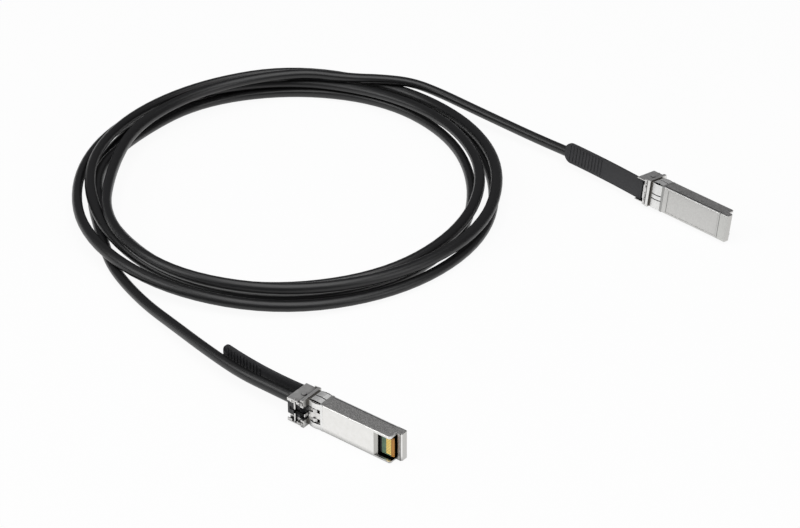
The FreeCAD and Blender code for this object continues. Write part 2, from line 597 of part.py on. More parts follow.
def bent_strip(end, under, over, start, width):
    """Strip along the tab's bend, between two levels of it and as wide as asked."""
    bend = cell("tab_bend_" + end)
    slope = math.radians(cell("tab_slope"))
    root = FreeCAD.Vector(-cell("tab_start"), 0, cell("tab_up"))
    centre = root + FreeCAD.Vector(-math.sin(slope), 0, math.cos(slope)) * bend

    def spot(share, level):
        turn = slope - (start + share * (cell("tab_length") - start)) / bend
        return centre - FreeCAD.Vector(-math.sin(turn), 0, math.cos(turn)) * (bend - level)

    edges = [Part.Arc(*[spot(share, over) for share in (0, 0.5, 1)]).toShape(),
             Part.LineSegment(spot(1, over), spot(1, under)).toShape(),
             Part.Arc(*[spot(share, under) for share in (1, 0.5, 0)]).toShape(),
             Part.LineSegment(spot(0, under), spot(0, over)).toShape()]
    strip = Part.Face(Part.Wire(edges)).extrude(FreeCAD.Vector(0, width, 0))
    return strip.translate(FreeCAD.Vector(0, -width / 2, 0))


def upright(back, front, width, round_back):
    """Tall block between two distances behind the mating end, its rear upright edges rounded."""
    tall = 10 * cell("tab_thick")
    block = Part.makeBox(back - front, width, 2 * tall,
                         FreeCAD.Vector(-back, -width / 2, cell("tab_up") - tall))
    edges = [e for e in block.Edges if runs_along(e, 2) and near(e.CenterOfMass.x, -back)]
    return block.makeFillet(round_back, edges) if round_back else block


def pull_tab(end):
    """Moulded strap on the slider's tongue, with a root bead and ribs for the fingers."""
    start, length, thick = cell("tab_start"), cell("tab_length"), cell("tab_thick")
    width = cell("housing_width") + 2 * cell("fit_gap") - 2 * cell("tab_gap")
    ribbed = width - 2 * cell("rib_inset")
    strap = bent_strip(end, -thick, 0, 0, width)
    strap = strap.common(upright(start + length, start - cell("past"), width, cell("tab_round")))
    band = bent_strip(end, -thick - cell("rib_rise"), cell("rib_rise"), cell("bead_length"), ribbed)
    ribs = []
    for k in range(int(cell("rib_count"))):
        back = start + length - cell("rib_place") - k * cell("rib_pitch")
        ribs.append(band.common(upright(back, back - cell("rib_width"), ribbed, 0)))
    bead = bent_strip(end, -thick, cell("bead_rise"), 0, ribbed)
    ribs.append(bead.common(upright(start + cell("bead_length"), start - cell("past"), ribbed, 0)))
    tab = strap.multiFuse(ribs)
    tab.rotate(FreeCAD.Vector(-start, 0, 0), UPWARD, cell("tab_sag_" + end))
    tongue = Part.makeBox(cell("tongue_end") - start + cell("past"), cell("tongue_width"),
                          cell("tongue_thick"),
                          FreeCAD.Vector(-cell("tongue_end"), -cell("tongue_width") / 2,
                                         cell("tongue_up")))
    return new_shape("pull_tab_" + end, tab.cut(tongue).removeSplitter())


def tube(points, diameter):
    """Tube in narrow flats along straight runs joined by arcs as large as the runs allow."""
    spots = [FreeCAD.Vector(*p) for p in points]
    edges = []
    start = spots[0]
    for before, here, after in zip(spots, spots[1:], spots[2:]):
        ahead = (here - before).normalize()
        beyond = (after - here).normalize()
        turn = ahead.getAngle(beyond)
        reach = 0.45 * min((here - before).Length, (after - here).Length)
        enter = here - ahead * reach
        leave = here + beyond * reach
        radius = reach / math.tan(turn / 2)
        inward = (beyond - ahead).normalize()
        centre = here + inward * (radius / math.cos(turn / 2))
        edges.append(Part.LineSegment(start, enter).toShape())
        edges.append(Part.Arc(enter, centre - inward * radius, leave).toShape())
        start = leave
    edges.append(Part.LineSegment(start, spots[-1]).toShape())
    path = Part.Wire(edges)
    flats = int(cell("cable_flats"))
    heading = FreeCAD.Rotation(UPWARD, spots[1] - spots[0])
    ring = [spots[0] + heading * FreeCAD.Vector(math.cos(turn), math.sin(turn), 0) * (diameter / 2)
            for turn in (math.tau * k / flats for k in range(flats))]
    swept = path.makePipeShell([Part.makePolygon([*ring, ring[0]])], True, False)
    ideal = flats / 2 * math.sin(math.tau / flats) * (diameter / 2) ** 2 * path.Length
    if abs(swept.Volume / ideal - 1) > 0.01:
        raise RuntimeError("tube volume %.2f, wanted %.2f" % (swept.Volume, ideal))
    return swept


# ---- the two plugs, the leads and the coil --------------------------------------------------

PIECES = (shell_base, shell_cover, emi_collar, paddle_card, contact_pads, id_chip, capacitors,
          wire_cores, crimp_ferrule, strain_relief, latch_slider, cross_pin, release_fork,
          return_springs, guide_rivets, pull_tab)
ACROSS, UPWARD = FreeCAD.Vector(1, 0, 0), FreeCAD.Vector(0, 0, 1)


def plug(end, turned):
    """All pieces of one plug, stood on the narrow side of its body. Gives back where it is."""
    spot = FreeCAD.Vector(*[cell("plug_%s_%s" % (end, word)) for word in ("x", "y", "up")])
    middle = FreeCAD.Placement(FreeCAD.Vector(0, 0, -cell("body_height") / 2), FreeCAD.Rotation())
    place = FreeCAD.Placement(spot, turned) * middle
    for make in PIECES:
        piece = make(end)
        piece.Placement = place
    return place


def lead(end, place, route):
    """Stretch of cable from the strain relief to inside the coil."""
    start = place.multVec(FreeCAD.Vector(-cell("relief_end"), 0, cell("cable_up")))
    first = place.multVec(FreeCAD.Vector(-cell("relief_end") - cell("lead_straight"), 0,
                                         cell("cable_up")))
    points = [tuple(start), tuple(first)] + route
    new_shape("cable_lead_" + end, tube(points, cell("cable_diameter")))
    for before, here, after in zip(points, points[1:], points[2:]):
        first = FreeCAD.Vector(*here) - FreeCAD.Vector(*before)
        second = FreeCAD.Vector(*after) - FreeCAD.Vector(*here)
        radius = 0.45 * min(first.Length, second.Length) / math.tan(first.getAngle(second) / 2)
        print("lead %s: run %.1f, bend radius %.0f" % (end, first.Length, radius))


def cable_coil():
    """Outer form of the four turns that lie on the floor."""
    middle = FreeCAD.Vector(cell("coil_x"), cell("coil_y"), 0)
    half, flat, tall = cell("coil_width") / 2, cell("coil_flat") / 2, cell("coil_tall")
    outline = [middle + FreeCAD.Vector(cell("coil_radius") + out, 0, up)
               for out, up in ((half, tall / 2), (flat, tall), (-flat, tall), (-half, tall / 2),
                               (-flat, 0), (flat, 0))]
    face = Part.Face(Part.makePolygon([*outline, outline[0]]))
    new_shape("cable_coil", face.revolve(middle, UPWARD, 360))


place_a = plug("a", FreeCAD.Rotation(ACROSS, -90))
place_b = plug("b", FreeCAD.Rotation(UPWARD, cell("plug_b_turn"))
               * FreeCAD.Rotation(ACROSS, 90 - cell("plug_b_lean")))
lead("a", place_a, LEAD_A)
lead("b", place_b, LEAD_B)
cable_coil()

doc.recompute()
for item in doc.Objects:
    if "Invalid" in item.State or "Error" in item.State:
        raise RuntimeError("%s failed: %s" % (item.Label, item.State))
os.makedirs("parts", exist_ok=True)
for piece in parts:
    if piece.Shape.isNull() or not piece.Shape.isValid() or not piece.Shape.Solids:
        raise RuntimeError("bad shape: " + piece.Label)
for piece in parts:
    piece.Shape.exportStep("parts/%s.step" % piece.Label)
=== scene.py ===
"""Direct attach copper cable: three metres of black twinax with a pluggable module at each end."""
import math

import bpy
import numpy as np
from mathutils import Euler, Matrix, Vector


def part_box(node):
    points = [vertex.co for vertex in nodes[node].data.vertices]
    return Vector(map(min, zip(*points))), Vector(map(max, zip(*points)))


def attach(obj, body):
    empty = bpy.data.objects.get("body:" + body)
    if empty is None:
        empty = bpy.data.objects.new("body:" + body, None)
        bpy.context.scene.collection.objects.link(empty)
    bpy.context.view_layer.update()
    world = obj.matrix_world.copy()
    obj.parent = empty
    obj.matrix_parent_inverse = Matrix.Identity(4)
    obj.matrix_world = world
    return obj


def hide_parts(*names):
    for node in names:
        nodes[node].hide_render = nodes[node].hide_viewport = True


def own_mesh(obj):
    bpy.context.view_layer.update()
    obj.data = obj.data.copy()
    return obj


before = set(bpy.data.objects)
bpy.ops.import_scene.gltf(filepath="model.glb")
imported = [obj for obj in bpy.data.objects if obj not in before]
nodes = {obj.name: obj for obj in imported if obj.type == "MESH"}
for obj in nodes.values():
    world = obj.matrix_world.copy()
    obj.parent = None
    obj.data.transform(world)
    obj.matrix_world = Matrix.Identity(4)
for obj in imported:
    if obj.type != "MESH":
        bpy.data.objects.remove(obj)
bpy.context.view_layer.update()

# ---- Camera --------------------------------------------------------------------------------
# A 100 mm lens a metre away, from above the mating end of plug A, so that the whole cable lies
# in the picture.
camera = bpy.data.objects.new("camera", bpy.data.cameras.new("camera"))
camera.data.lens = 100
camera.location = (0.48345, -0.68648, 0.55786)
camera_aim = Vector((-0.05048, -0.00062, 0))
camera.rotation_euler = (camera_aim - camera.location).to_track_quat("-Z", "Y").to_euler()
bpy.context.scene.collection.objects.link(camera)
bpy.context.scene.camera = camera

# ---- Cable ---------------------------------------------------------------------------------
# Twinax with an extruded PVC jacket, 5.2 mm across: from plug A to the floor, four loose turns
# that cross over each other, and off the top of them to plug B. The jacket follows the two
# pairs inside, so it isn't quite round.
cable_diameter = 0.0052
strand_rise = 0.0046          # for each strand that it lies on, as loose turns bed into each other
floor_gap = 0.00003
pair_twists = 3.5             # turns of the two pairs inside, from end to end
ridge_height, ridge_edge = 0.07, 0.012     # of the jacket's radius, in the two cosines of its oval
coil_middle = (-0.13565, 0.01926)
coil_start = 247.9            # degrees round from +X, where the first turn meets the lead
stations = 12                 # of the route, in each turn
lead_a = [(-13.4, -118.85, 7.0), (-27.4, -118.85, 7.0), (-45.8, -118.7, 7.0), (-71.1, -113.6, 6.3),
          (-94.4, -107.2, 4.7), (-114.3, -101.9, 3.3), (-133.1, -95.4, 2.8), (-149.4, -88.3, 2.8),
          (-163.5, -79.4, 3.4)]
lead_b = [(5.35, 118.57, 7.66), (-8.53, 120.42, 7.66), (-28.9, 123.7, 6.5), (-48.9, 126.2, 5.6),
          (-67.0, 127.6, 5.8), (-86.7, 129.2, 6.4), (-106.5, 130.1, 7.6), (-126.0, 130.2, 9.5),
          (-141.5, 127.0, 12.0), (-155.5, 118.4, 13.1), (-168.0, 108.8, 13.5)]
# Each turn, at every twelfth of it: how far out it runs, in mm, and on how many strands it lies.
turn_reach = [98, 101, 105, 104.2, 104, 103, 103.5, 108.5, 111.5, 115, 113, 109.5,
              103.8, 102.3, 101.5, 100.3, 94.3, 94.5, 97, 99, 102, 97.5, 95.8, 93.5,
              96, 91.5, 98.5, 97.7, 96.6, 93.2, 92, 98.5, 105, 104.5, 102, 99,
              99, 98, 98.2, 102.8, 108, 105, 105.2, 108.7, 108, 108.5, 106.5, 97.5,
              86, 90, 92.8, 96.2]
turn_lift = [0, 0, 0, 0, 0, 0, 0, 0, 0.05, 0.5, 1, 1.35,
             1.45, 1.2, 1, 1, 1.55, 1.75, 1.6, 1.25, 1, 0.3, 0, 0.5,
             1.3, 0.4, 0, 0.05, 0.25, 0.25, 0.15, 0, 0, 0, 0.2, 1.05,
             2.15, 2.15, 2.2, 2.15, 0.9, 1.2, 1.7, 1.55, 1.4, 1.65, 1.9, 2.1,
             2.05, 2.05, 2.25, 2.6]

route = [np.array(spot) / 1000 for spot in lead_a]
for station, (reach, lift) in enumerate(zip(turn_reach, turn_lift), 1):
    turn = math.radians(coil_start - 360 / stations * station)
    route.append(np.array([coil_middle[0] + reach / 1000 * math.cos(turn),
                           coil_middle[1] + reach / 1000 * math.sin(turn),
                           cable_diameter / 2 + strand_rise * lift]))
route += [np.array(spot) / 1000 for spot in reversed(lead_b)]

line = bpy.data.curves.new("cable_line", "CURVE")
line.dimensions = "3D"
line.resolution_u = 8
spline = line.splines.new("NURBS")
spline.points.add(len(route) - 1)
spline.points.foreach_set("co", np.column_stack([route, np.ones(len(route))]).ravel())
spline.order_u = 3
spline.use_endpoint_u = True
line_object = bpy.data.objects.new("cable_line", line)
bpy.context.scene.collection.objects.link(line_object)
line_mesh = bpy.data.meshes.new_from_object(line_object)
path = np.empty(len(line_mesh.vertices) * 3)
line_mesh.vertices.foreach_get("co", path)
path = path.reshape(-1, 3)
bpy.data.objects.remove(line_object)


def new_piece(name, points, faces, uv=None):
    """Mesh object from points, faces and, where a pattern follows it, a pair for each corner."""
    mesh = bpy.data.meshes.new(name)
    mesh.from_pydata(np.asarray(points).reshape(-1, 3).tolist(), [], faces)
    if uv is not None:
        mesh.uv_layers.new(name="UVMap").data.foreach_set("uv", np.asarray(uv, np.float32).ravel())
    mesh.shade_smooth()
    piece = bpy.data.objects.new(name, mesh)
    bpy.context.scene.collection.objects.link(piece)
    return piece


def run_along(path):
    """Distance along the path of each of its points."""
    return np.concatenate([[0], np.cumsum(np.linalg.norm(np.diff(path, axis=0), axis=1))])


def ridge_swell(turn, share):
    """Radius of the jacket, over its mean, at an angle round it and a share of its length: 1, plus
    a share of the cosine of twice the angle from its ridge, and a smaller one of four times it.
    The ridge points up at both ends, where the pairs lie above each other, and twists between."""
    off_ridge = turn - (math.pi / 2 + math.tau * pair_twists * share)
    return 1 + ridge_height * np.cos(2 * off_ridge) + ridge_edge * np.cos(4 * off_ridge)


def tube_faces(rings, spokes):
    """Faces of a tube, outwards: a quad from each ring to the next and from each point round it to
    the next, and a cap on each end. With them, each quad's corners as ring and point."""
    ring, spoke = np.meshgrid(np.arange(rings - 1), np.arange(spokes), indexing="ij")
    ring = np.stack([ring, ring + 1, ring + 1, ring], -1)
    spoke = np.stack([spoke, spoke, spoke + 1, spoke + 1], -1)
    quads = (ring * spokes + spoke % spokes).reshape(-1, 4).tolist()
    last = (rings - 1) * spokes
    return quads + [list(range(spokes)), list(range(last, last + spokes))[::-1]], ring, spoke


def cable_skin(path, radius, spokes=28):
    """Around each point of the path a ring: sideways cos, upwards sin, times the radius and its
    swell. The pattern's pair is the distance along the path and round the ring."""
    ahead = np.gradient(path, axis=0)
    ahead /= np.linalg.norm(ahead, axis=1)[:, None]
    side = np.cross(ahead, (0, 0, 1))
    side /= np.linalg.norm(side, axis=1)[:, None]
    above = np.cross(side, ahead)
    run = run_along(path)
    turn = np.arange(spokes) * math.tau / spokes
    swell = radius * ridge_swell(turn[None], run[:, None] / run[-1])
    points = (path[:, None] + swell[..., None] * (np.cos(turn)[None, :, None] * side[:, None]
                                                  + np.sin(turn)[None, :, None] * above[:, None]))
    faces, ring, spoke = tube_faces(len(path), spokes)
    uv = np.stack([run[ring], spoke / spokes * math.tau * radius], -1)
    return points, faces, np.concatenate([uv.reshape(-1, 2), np.zeros((2 * spokes, 2))])


def paint(code):
    """sRGB hex to linear: a straight line below 0.04045, and a power of 2.4 above it."""
    channel = np.array([int(code[k:k + 2], 16) for k in (1, 3, 5)]) / 255
    return (*np.where(channel <= 0.04045, channel / 12.92, ((channel + 0.055) / 1.055) ** 2.4), 1.0)


def add_node(tree, kind, sockets=(), **settings):
    """One shader node with its settings. Sockets are pairs of an input and its value or link."""
    made = tree.nodes.new("ShaderNode" + kind)
    for name, value in settings.items():
        setattr(made, name, value)
    for name, value in sockets:
        if isinstance(value, bpy.types.NodeSocket):
            tree.links.new(value, made.inputs[name])
        else:
            made.inputs[name].default_value = value
    return made


mix_a, mix_b, mix_result = 6, 7, 2         # the colour sockets of a Mix node, by their order


def new_material(name):
    """Material with a bare tree, and the tree."""
    material = bpy.data.materials.new(name)
    material.use_nodes = True
    material.node_tree.nodes.clear()
    return material, material.node_tree


def finish_material(tree, sockets):
    """Principled shader from the given sockets, into the output."""
    shader = add_node(tree, "BsdfPrincipled", sockets)
    add_node(tree, "OutputMaterial", [("Surface", shader.outputs[0])])


# PVC jacket: extruded, so its grain runs along the cable, and satin where it has been handled.
# The grain is drawn coarser than it is, so that it shows.
jacket_grain = (60, 900, 1)   # to a metre, along the cable and round it: 17 by 1.1 mm
jacket, tree = new_material("extruded_pvc_jacket")
spot = add_node(tree, "TexCoord")
stretch = add_node(tree, "Mapping", [("Vector", spot.outputs["UV"]), ("Scale", jacket_grain)])
grain = add_node(tree, "TexNoise", [("Vector", stretch.outputs[0]), ("Scale", 1.0),
                                    ("Detail", 3.0)])
cloud = add_node(tree, "TexNoise", [("Vector", spot.outputs["Object"]), ("Scale", 30.0),
                                    ("Detail", 2.0)])
tone = add_node(tree, "Mix", [("Factor", cloud.outputs[0]), (mix_a, paint("#0F0F10")),
                              (mix_b, paint("#171718"))], data_type="RGBA")
rough = add_node(tree, "MapRange", [("Value", grain.outputs[0]), ("To Min", 0.30),
                                    ("To Max", 0.42)])
bump = add_node(tree, "Bump", [("Height", grain.outputs[0]), ("Strength", 0.25),
                               ("Distance", 0.00005)])
finish_material(tree, [("Base Color", tone.outputs[mix_result]), ("Roughness", rough.outputs[0]),
                       ("IOR", 1.53), ("Normal", bump.outputs[0])])

# The cable rests on whichever side of its oval is underneath.
run = run_along(path)
underneath = cable_diameter / 2 * ridge_swell(-math.pi / 2, run / run[-1])
path[:, 2] = np.maximum(path[:, 2], underneath + floor_gap)
cable = new_piece("cable", *cable_skin(path, cable_diameter / 2))
cable.data.materials.append(jacket)
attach(cable, "cable_and_shells")
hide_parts("cable_lead_a", "cable_coil", "cable_lead_b")

# ---- Card ----------------------------------------------------------------------------------
# Glass-epoxy circuit card under green solder resist, bare and ochre at its ground front edge,
# with hard-gold contacts. A chip and capacitors are soldered to it, and the cable's cores lie
# on its rear.
body_height, bevel_length = 8.5, 3.72                                # mm
plug_turns = {"a": (-90, 0, 0), "b": (82.6, 0, -7.6)}                # degrees, of each plug's frame
plug_spots = {"a": (42.0, -118.4, 7.0), "b": (60.2, 110.8, 7.72)}    # mm, its front at mid height
card_painted_shade = {"along": (-40.5, -8.5), "up": (0, 3)}                 # mm, deep in the housing, where the resist is painted dark as shade
threads_a_metre = 1500.0      # of the glass cloth under the resist


def plug_turn(end):
    """How a plug's own frame is turned."""
    return Euler([math.radians(angle) for angle in plug_turns[end]])


def plug_axes(tree, end):
    """Where a point lies in its plug's own frame, in mm: along it, negative behind its front,
    across it, and up from its belly."""
    turn = plug_turn(end)
    belly = (Vector(plug_spots[end]) + turn.to_matrix() @ Vector((0, 0, -body_height / 2))) / 1000
    spot = add_node(tree, "TexCoord")
    place = add_node(tree, "Mapping", [("Vector", spot.outputs["Object"]), ("Location", belly),
                                       ("Rotation", turn), ("Scale", (0.001, 0.001, 0.001))],
                     vector_type="TEXTURE")
    axes = add_node(tree, "SeparateXYZ", [(0, place.outputs[0])])
    across = add_node(tree, "Math", [(0, axes.outputs[1])], operation="ABSOLUTE")
    return {"along": axes.outputs[0], "across": across.outputs[0], "up": axes.outputs[2]}


def within(tree, axes, spans):
    """1 inside the given spans of the plug's frame, and 0 outside."""
    inside = None
    for axis, (low, high) in spans.items():
        part = add_node(tree, "Math", [(0, axes[axis]), (1, (low + high) / 2),
                                       (2, (high - low) / 2)], operation="COMPARE").outputs[0]
        if inside:
            part = add_node(tree, "Math", [(0, inside), (1, part)], operation="MULTIPLY").outputs[0]
        inside = part
    return inside


def marked(tree, axes, colour, marks):
    """The colour, turned to each mark's own colour inside the spans that the mark fills."""
    for code, spans in marks:
        colour = add_node(tree, "Mix", [("Factor", within(tree, axes, spans)), (mix_a, colour),
                                        (mix_b, paint(code))], data_type="RGBA").outputs[mix_result]
    return colour


for end in "ab":
    resist, tree = new_material("solder_resist_" + end)
    spot = add_node(tree, "TexCoord")
    weave = add_node(tree, "TexNoise", [("Vector", spot.outputs["Object"]),
                                        ("Scale", threads_a_metre), ("Detail", 2.0)])
    tone = add_node(tree, "Mix", [("Factor", weave.outputs[0]), (mix_a, paint("#4A6B52")),
                                  (mix_b, paint("#6C9070"))], data_type="RGBA")
    # The ground front edge is ochre; deep in the housing the resist gets painted shade, nearly
    # black.
    colour = marked(tree, plug_axes(tree, end), tone.outputs[mix_result],
                    (("#C6872F", {"along": (-bevel_length, 0)}), ("#0A0F0B", card_painted_shade)))
    finish_material(tree, [("Base Color", colour), ("Roughness", 0.4), ("IOR", 1.55)])
    nodes["paddle_card_" + end].material_slots[0].material = resist

# Hard gold: electroplated and rubbed by its mating contact, so its yellow has a slight haze.
gold, tree = new_material("hard_gold")
spot = add_node(tree, "TexCoord")
haze = add_node(tree, "TexNoise", [("Vector", spot.outputs["Object"]), ("Scale", 700.0)])
tone = add_node(tree, "Mix", [("Factor", haze.outputs[0]), (mix_a, paint("#F0C660")),
                              (mix_b, paint("#FBE08C"))], data_type="RGBA")
finish_material(tree, [("Base Color", tone.outputs[mix_result]), ("Metallic", 1.0),
                       ("Roughness", 0.3)])
for end in "ab":
    nodes["contact_pads_" + end].material_slots[0].material = gold

# Chip and capacitors: moulded epoxy, dull and nearly black. Cores: cream insulation, extruded
# and a little smoother.
for name, code, haze_scale, roughness, kinds in (
        ("moulded_epoxy", "#222224", 900.0, (0.45, 0.6), ("id_chip_", "capacitors_")),
        ("core_insulation", "#D8D3C4", 500.0, (0.35, 0.5), ("wire_cores_",))):
    finish, tree = new_material(name)
    spot = add_node(tree, "TexCoord")
    haze = add_node(tree, "TexNoise", [("Vector", spot.outputs["Object"]), ("Scale", haze_scale)])
    rough = add_node(tree, "MapRange", [("Value", haze.outputs[0]), ("To Min", roughness[0]),
                                        ("To Max", roughness[1])])
    finish_material(tree, [("Base Color", paint(code)), ("Roughness", rough.outputs[0])])
    for kind in kinds:
        for end in "ab":
            nodes[kind + end].material_slots[0].material = finish

# ---- Crimp ferrule -------------------------------------------------------------------------
# Nickel-plated brass tube, pressed six-sided round the cable's shield inside the housing. The
# crimping tool leaves it smooth and satin.
cloud_scale, speck_fade = 500.0, (0.38, 0.62)        # to a metre, and of the noise's height


def plated_metal(name, colours, roughness, grain_mm, depth_mm, edge_mm, end, marks=(), depth=1.6,
                 specks=()):
    """Metal with its plating: colour drifting between two tones, satin with a fine grain, edges
    eased by a small radius, painted shade in corners, where occlusion darkens the colour to the
    power depth, and with marks: a colour and the spans that it fills. Specks are such marks too,
    broken up by a grain that is drawn coarser than it is, so that it shows."""
    material, tree = new_material(name + "_" + end)
    spot = add_node(tree, "TexCoord")
    grain = add_node(tree, "TexNoise", [("Vector", spot.outputs["Object"]),
                                        ("Scale", 1000 / grain_mm), ("Detail", 3.0)])
    cloud = add_node(tree, "TexNoise", [("Vector", spot.outputs["Object"]),
                                        ("Scale", cloud_scale), ("Detail", 3.0)])
    tone = add_node(tree, "Mix", [("Factor", cloud.outputs[0]), (mix_a, paint(colours[0])),
                                  (mix_b, paint(colours[1]))], data_type="RGBA")
    # painted shade: the colour is darkened where occlusion finds surfaces close by
    occlusion_shade = add_node(tree, "AmbientOcclusion", [("Distance", 0.003)], samples=8)
    shade = add_node(tree, "Math", [(0, occlusion_shade.outputs["AO"]), (1, depth)], operation="POWER")
    shaded = add_node(tree, "VectorMath", [(0, tone.outputs[mix_result]),
                                           ("Scale", shade.outputs[0])], operation="SCALE")
    colour = shaded.outputs[0]
    axes = plug_axes(tree, end)
    for code, speck_mm, spans in specks:
        speck = add_node(tree, "TexNoise", [("Vector", spot.outputs["Object"]),
                                            ("Scale", 1000 / speck_mm), ("Detail", 1.0)])
        share = add_node(tree, "MapRange", [("Value", speck.outputs[0]),
                                            ("From Min", speck_fade[0]),
                                            ("From Max", speck_fade[1])])
        mask = add_node(tree, "Math", [(0, share.outputs[0]), (1, within(tree, axes, spans))],
                        operation="MULTIPLY")
        colour = add_node(tree, "Mix", [("Factor", mask.outputs[0]), (mix_a, colour),
                                        (mix_b, paint(code))], data_type="RGBA").outputs[mix_result]
    colour = marked(tree, axes, colour, marks)
    rough = add_node(tree, "MapRange", [("Value", cloud.outputs[0]), ("To Min", roughness[0]),
                                        ("To Max", roughness[1])])
    edge = add_node(tree, "Bevel", [("Radius", edge_mm / 1000)], samples=4)
    bump = add_node(tree, "Bump", [("Height", grain.outputs[0]), ("Strength", 0.45),
                                   ("Distance", depth_mm / 1000), ("Normal", edge.outputs[0])])
    finish_material(tree, [("Base Color", colour), ("Metallic", 1.0),
                           ("Roughness", rough.outputs[0]), ("Normal", bump.outputs[0])])
    return material


for end in "ab":
    nodes["crimp_ferrule_" + end].material_slots[0].material = plated_metal(
        "plated_brass", ("#CFCECB", "#DDDCD9"), (0.25, 0.36), 0.15, 0.01, 0.03, end)

# ---- Shells --------------------------------------------------------------------------------
# Die-cast zinc, plated with matt nickel, and a cover pressed into its rebate. The casting leaves
# a fine grain under the plating. In the joints, the recesses and the inside hardly any light comes
# back, so they get painted shade; so do the nose's front and the mouth's ramp, and the cover's
# edge over the seam gets a painted highlight.
body_width, cover_seam, side_wall = 13.4, 7.6, 1.0                   # mm
nose_length, mouth_length, collar_front, fingers_rear, flange_front = 4.4, 11.2, 38.2, 45.3, 46.3
half, inner = body_width / 2, body_width / 2 - side_wall
# a near black for painted shade and for the fork, and a grey for painted shade behind the fingers
dark, painted_shade_grey = "#0B0B0A", "#8A8782"
finger_bed = {"along": (-fingers_rear, -collar_front - 1.2), "up": (0.5, body_height)}
behind_fingers = {"along": (-flange_front, -fingers_rear), "up": (0.2, body_height)}
seam = {"across": (half - 0.5, half + 0.1), "along": (-collar_front, -nose_length)}
# the narrow sides: specks of a coarser grain, darker than the faces, which also paint shade on them
grainy_shaded_sides = {"across": (half - 0.06, half + 0.1)}
cover_top = (8.2, 8.6)
for end in "ab":
    nodes["shell_base_" + end].material_slots[0].material = plated_metal(
        "nickel_plated_zinc", ("#E6E5E2", "#F8F7F5"), (0.32, 0.44), 0.4, 0.06, 0.12, end,
        specks=[("#BEBDBA", 0.55, grainy_shaded_sides)], marks=(
            # painted shade in the cavity, on the line under the nose, its front and the mouth's
            # ramp;
            # the nose's top greyer
            (dark, {"along": (-44.0, -2.1), "across": (0, inner + 0.02),
                    "up": (1.19, cover_seam + 0.02)}),
            (dark, {"along": (-1.0, -0.6), "across": (0, half), "up": (3.9, 4.8)}),
            ("#C6C5C2", {"along": (-0.05, 0.1)}),
            ("#BDBCB8", {"along": (-mouth_length, -9.7), "across": (0, inner - 0.02),
                         "up": (0.03, 1.19)}),
            ("#CFCFCC", {"along": (-nose_length, -0.06),
                         "up": (body_height - 0.8, body_height + 0.1)}),
            # painted shade under the fingers and behind them, in the channels beside the latch
            # boss, and at the seam
            (dark, {"across": (0, half - 0.25), **finger_bed}),
            (painted_shade_grey, behind_fingers),
            (dark, {"along": (-flange_front, -39.8), "across": (1.5, 3.3), "up": (0.32, 0.8)}),
            (dark, {"up": (cover_seam - 0.3, cover_seam + 0.01), **seam})))
    nodes["shell_cover_" + end].material_slots[0].material = plated_metal(
        "nickel_plated_cover", ("#CACAC7", "#DAD9D7"), (0.32, 0.42), 0.4, 0.05, 0.10, end,
        specks=[("#A8A7A4", 0.55, grainy_shaded_sides),
                ("#CCCBC9", 0.7, {"up": cover_top, "across": (0, half)})], marks=(
            # painted shade under the fingers and behind them, a painted highlight on the edge over
            # the seam, and painted shade at the joint with the nose and at both ends of the label's
            # recess
            (dark, finger_bed),
            (painted_shade_grey, behind_fingers),
            ("#FAFAF9", {"up": (cover_seam + 0.1, cover_seam + 0.7), **seam}),
            ("#6E6E6C", {"along": (-nose_length - 0.3, -nose_length), "up": (8.0, 8.6)}),
            ("#A6A6A4", {"along": (-5.62, -5.38), "across": (0, 5.6), "up": cover_top}),
            ("#A6A6A4", {"along": (-35.8, -35.5), "across": (0, 5.6), "up": cover_top})))

# ---- Spring collar -------------------------------------------------------------------------
# Stamped from tin-plated spring steel and folded round the shell in its recess. Its fingers are
# bright, and its band is rubbed duller.
collar_band = {"along": (-collar_front - 1.4, -collar_front + 0.1), "up": (0.5, 8.8)}
for end in "ab":
    nodes["emi_collar_" + end].material_slots[0].material = plated_metal(
        "tinned_spring_steel", ("#F2F2F0", "#FBFBFA"), (0.46, 0.56), 0.15, 0.01, 0.05, end,
        depth=1.2, marks=(("#B0B0AE", collar_band),))

# ---- Return springs ------------------------------------------------------------------------
# A pair for each plug, wound from drawn stainless wire, smooth and satin. Each lies in a groove of
# the shell, from the groove's rear wall to a lug of the slider, which presses it together when the
# tab is pulled.
spring_diameter, spring_wire, spring_turns, spring_up, latch_travel = 1.7, 0.26, 5, 5.6, 2.3    # mm
low, high = (np.array(corner) * 1000 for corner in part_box("return_springs_a"))
spring_rear, spring_length = low[0] - plug_spots["a"][0], high[0] - low[0]
spring_out = (high[2] - low[2] - spring_diameter) / 2


def wound_wire(length, radius, wire, turns, steps=24, spokes=8):
    """Open coil along +X: at an angle u round it and v round its wire, a point lies the radius plus
    half the wire times cos v off the axis, and along it by its share of the length plus half the
    wire times sin v."""
    u = np.linspace(0, math.tau * turns, steps * turns + 1)[:, None]
    v = np.arange(spokes)[None] * math.tau / spokes
    off = radius + wire / 2 * np.cos(v)
    along = wire / 2 + (length - wire) * u / u.max() + wire / 2 * np.sin(v)
    points = np.stack([along, off * np.cos(u), off * np.sin(u)], -1)
    return points.reshape(-1, 3), tube_faces(len(u), spokes)[0]


for end in "ab":
    turn = np.array(plug_turn(end).to_matrix())
    middle = np.array(plug_spots[end])
    rear_wall = np.array([spring_rear, 0, spring_up - body_height / 2])
    points, faces = wound_wire(spring_length, (spring_diameter - spring_wire) / 2, spring_wire,
                               spring_turns)
    both_points = np.concatenate([points + rear_wall + (0, side * spring_out, 0)
                                  for side in (-1, 1)])
    both_faces = faces + [[corner + len(points) for corner in face] for face in faces]
    springs = new_piece("latch_springs_" + end, (both_points @ turn.T + middle) / 1000, both_faces)
    springs.data.materials.append(plated_metal(
        "spring_wire", ("#CFCECB", "#DDDCD9"), (0.25, 0.36), 0.15, 0.01, 0.03, end))
    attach(springs, "cable_and_shells")
    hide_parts("return_springs_" + end)
    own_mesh(springs)
